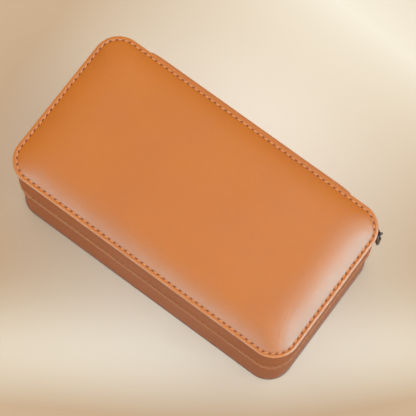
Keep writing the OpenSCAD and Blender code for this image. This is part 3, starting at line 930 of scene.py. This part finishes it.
def make_bridge():
    """A bent strap on the slider's face: two feet and an arch between them."""
    start, end = SLIDER - 12, SLIDER + 12
    foot = [(17.2, 0), (18.6, 0), (19.7, 0.1), (20.45, 0.9), (20.9, 2.4)]
    line = [(radius, start + a) for radius, a in foot]
    line += [(BRIDGE_REACH, a) for a in np.linspace(start + 4.4, end - 4.4, 9)]
    line += [(radius, end - a) for radius, a in foot[::-1]]
    centres = [polar(radius, a) for radius, a in line]
    around, last = 12, len(centres) - 1
    points = []
    for k, centre in enumerate(centres):
        before, after = centres[max(k - 1, 0)], centres[min(k + 1, last)]
        along = (after - before) / np.linalg.norm(after - before)
        side = np.cross(along, [0, 0, 1])
        thick, tall = (0.55, 1.0) if k in (0, 1, last - 1, last) else (0.4, 0.75)
        for a in range(around):
            turn = 2 * math.pi * a / around
            points.append(centre + side * power(math.cos(turn), 0.6) * thick
                          + np.array([0, 0, power(math.sin(turn), 0.6) * tall]))
    mesh = joined("slider_strap", [(np.array(points), tube_faces(len(centres), around))])
    piece(mesh, "slider", gun_metal, ["slider_bridge"])


make_bridge()


def puller_eye(axis, out, side):
    """A slightly squared ring, as (points in millimetres, faces)."""
    major, thick, wide, steps, around = 1.42, 0.4, 0.62, 40, 12
    points = []
    for k in range(steps):
        turn = 2 * math.pi * k / steps
        ray = out * math.cos(turn) + np.array([0, 0, math.sin(turn)])
        for a in range(around):
            roll = 2 * math.pi * a / around
            points.append(axis + ray * (major + power(math.cos(roll), 0.7) * thick)
                          + side * power(math.sin(roll), 0.7) * wide)
    return np.array(points), tube_faces(steps, around, closed=True)


def puller_tab(axis, out, side):
    """A flat tab with a round end and a pressed panel, as (points in millimetres, faces)."""
    half_wide, half_thick, bend = 2.5, 0.6, -18.5
    outline = [(0.6, -1.5), (0.7, -2.2), (1.4, -2.8), (2.2, -3.5), (2.46, -4.6), (half_wide, -6),
               (half_wide, bend)]
    for degrees in range(10, 91, 10):
        a = math.radians(degrees)
        outline.append((half_wide * math.cos(a), bend - half_wide * math.sin(a)))
    outline += [(-x, z) for x, z in outline[-2::-1]]
    work = bmesh.new()
    rims = [[work.verts.new(tuple((axis + side * x + out * level + np.array([0, 0, z])) * MM))
             for x, z in outline] for level in (-half_thick, half_thick)]
    front, rear = work.faces.new(rims[1]), work.faces.new(rims[0][::-1])
    for i in range(len(outline)):
        j = (i + 1) % len(outline)
        work.faces.new([rims[0][i], rims[0][j], rims[1][j], rims[1][i]])
    bmesh.ops.recalc_face_normals(work, faces=work.faces)
    for face in (front, rear):
        bmesh.ops.inset_region(work, faces=[face], thickness=0.75 * MM, depth=0)
        bmesh.ops.inset_region(work, faces=[face], thickness=0.2 * MM, depth=-0.22 * MM)
    work.verts.index_update()
    points = np.array([v.co for v in work.verts]) / MM
    faces = [[v.index for v in face.verts] for face in work.faces]
    work.free()
    return points, faces


def make_puller():
    axis = polar(BRIDGE_REACH, EYE)
    out = np.array([math.cos(math.radians(EYE)), math.sin(math.radians(EYE)), 0])
    side = np.array([-out[1], out[0], 0])
    parts = [puller_eye(axis, out, side), puller_tab(axis, out, side)]
    made = piece(joined("puller_tab", parts), "puller", gun_metal, ["zip_puller"])
    bevelled(made, 0.22, 2)


make_puller()

for name, material in (("base_board", board_fibre), ("lid_board", board_fibre),
                       ("lower_end_stops", teeth_metal), ("upper_end_stops", teeth_metal)):
    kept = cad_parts[name]
    kept.data.materials.clear()
    kept.data.materials.append(material)

# -------------------------------------------------------------------- stage

# The photograph's view, in radians and metres; FOCAL and FRAME are in its pixels
AZIMUTH, ELEVATION, ROLL = math.radians(34.29), math.radians(75.57), math.radians(2.38)
DISTANCE, FOCAL, SIDEWAYS, UPWARDS, FRAME = 1.125, 1814.3, 0.0084, 0.01147, 416


def direction(azimuth, elevation):
    flat = math.cos(elevation)
    return Vector((math.sin(azimuth) * flat, -math.cos(azimuth) * flat, math.sin(elevation)))


back = direction(AZIMUTH, ELEVATION)
level = Vector((math.cos(AZIMUTH), math.sin(AZIMUTH), 0))
steep = back.cross(level)
turned = level * math.cos(ROLL) + steep * math.sin(ROLL)
upright = steep * math.cos(ROLL) - level * math.sin(ROLL)


def make_camera():
    """The photograph's view: high over the front right, with a slight roll."""
    sensor = 36
    data = bpy.data.cameras.new("camera")
    data.sensor_fit, data.sensor_width, data.sensor_height = "HORIZONTAL", sensor, sensor
    data.lens = FOCAL / FRAME * sensor
    data.clip_start, data.clip_end = 0.01, 20
    made = bpy.data.objects.new("camera", data)
    bpy.context.scene.collection.objects.link(made)
    place = back * DISTANCE + turned * SIDEWAYS + upright * UPWARDS
    facing = Matrix((turned, upright, back)).transposed().to_4x4()
    made.matrix_world = Matrix.Translation(place) @ facing
    bpy.context.scene.camera = made


make_camera()


def make_floor():
    """A pale sand table with painted light on it: lighter round the case, where its shadow falls,
    brighter towards the far right, and a lighter band in front."""
    material, tree, shader = tree_of("pale_table")
    place = node(tree, "TexCoord").outputs["Object"]
    scale = FOCAL / DISTANCE / FRAME

    def measure(way):
        """About how far along a direction of the picture, from 0 at one side to 1 at the other."""
        made = node(tree, "VectorMath", {0: place, 1: (way.x * scale, way.y * scale, 0)},
                    operation="DOT_PRODUCT")
        return combined(tree, "ADD", made.outputs["Value"], 0.5)

    def bell(value, centre, width):
        off = combined(tree, "DIVIDE", combined(tree, "SUBTRACT", value, centre), width)
        square = combined(tree, "MULTIPLY", off, off)
        return combined(tree, "POWER", math.e, combined(tree, "MULTIPLY", square, -1.0))

    across, down = measure(turned), measure(-upright)
    corner = combined(tree, "SUBTRACT", combined(tree, "MULTIPLY", across, 0.8), down)
    spread = node(tree, "SeparateXYZ", {0: place}).outputs
    band = bell(down, 0.799, 0.141)
    # Painted light: the floor brightens towards the far right.
    painted_glow = combined(tree, "POWER", ranged(tree, corner, -0.746, 0.741, 0.0, 1.0), 4.44)
    # Painted light round the case, lightening the floor where the case's own shadow falls.
    painted_light_pool = combined(tree, "MULTIPLY", bell(spread[0], -0.003, 0.125),
                    bell(spread[1], 0.020, 0.1045))
    share = 0.0
    for part, weight in ((band, 0.784), (painted_glow, 1.268), (painted_light_pool, 1.834), (across, -0.241)):
        share = combined(tree, "ADD", share, combined(tree, "MULTIPLY", part, weight))
    share = combined(tree, "SUBTRACT", share, 0.470, clamp=True)
    near = mixed(tree, share, (0.599, 0.449, 0.304), (0.97, 0.96, 0.855))
    away = node(tree, "VectorMath", {0: place}, operation="LENGTH").outputs["Value"]
    away = node(tree, "MapRange", {"Value": away, "From Min": 0.19, "From Max": 0.33},
                interpolation_type="SMOOTHSTEP").outputs["Result"]
    base = mixed(tree, away, near, (0.76, 0.66, 0.54))
    tree.links.new(base, shader.inputs["Base Color"])
    put(shader, Roughness=0.9, Specular_IOR_Level=0.0)
    corners = np.array([(-3, -3, 0), (3, -3, 0), (3, 3, 0), (-3, 3, 0)], float)
    mesh = finished("floor", corners, [[0, 1, 2, 3]])
    mesh.materials.append(material)
    floor = bpy.data.objects.new("floor", mesh)
    bpy.context.scene.collection.objects.link(floor)


make_floor()


def lamp(name, azimuth, elevation, distance, size, radiance, colour=(1, 1, 1), sheen=False):
    """A soft lamp that looks at the case, with its angles in degrees and its size in metres. A
    sheen lamp is only there for the gloss to reflect."""
    data = bpy.data.lights.new(name, "AREA")
    data.shape, data.size, data.size_y = "RECTANGLE", size[0], size[1]
    data.energy, data.color = radiance * math.pi * size[0] * size[1], colour
    made = bpy.data.objects.new(name, data)
    bpy.context.scene.collection.objects.link(made)
    away = direction(math.radians(azimuth), math.radians(elevation))
    made.location = Vector((0, 0, 0.06)) + away * distance
    made.rotation_euler = away.to_track_quat("Z", "Y").to_euler()
    made.visible_camera = False
    made.visible_diffuse = not sheen


lamp("overhead", 180, 86, 1.6, (4.0, 4.0), 1.15, (1.0, 0.98, 0.93))
lamp("right_fill", 100, 35, 1.5, (1.2, 1.0), 0.4)
lamp("right_sheen", 104, 32, 1.2, (1.3, 0.80), 25.0, (0.94, 0.99, 1.0), sheen=True)
lamp("front_sheen", -10, 26, 1.2, (1.2, 0.46), 20.0, sheen=True)

world = bpy.data.worlds.new("studio")
bpy.context.scene.world = world
world.use_nodes = True
put(world.node_tree.nodes["Background"], Color=(1.0, 0.97, 0.92, 1), Strength=0.29)
bpy.context.scene.view_settings.view_transform = "Standard"
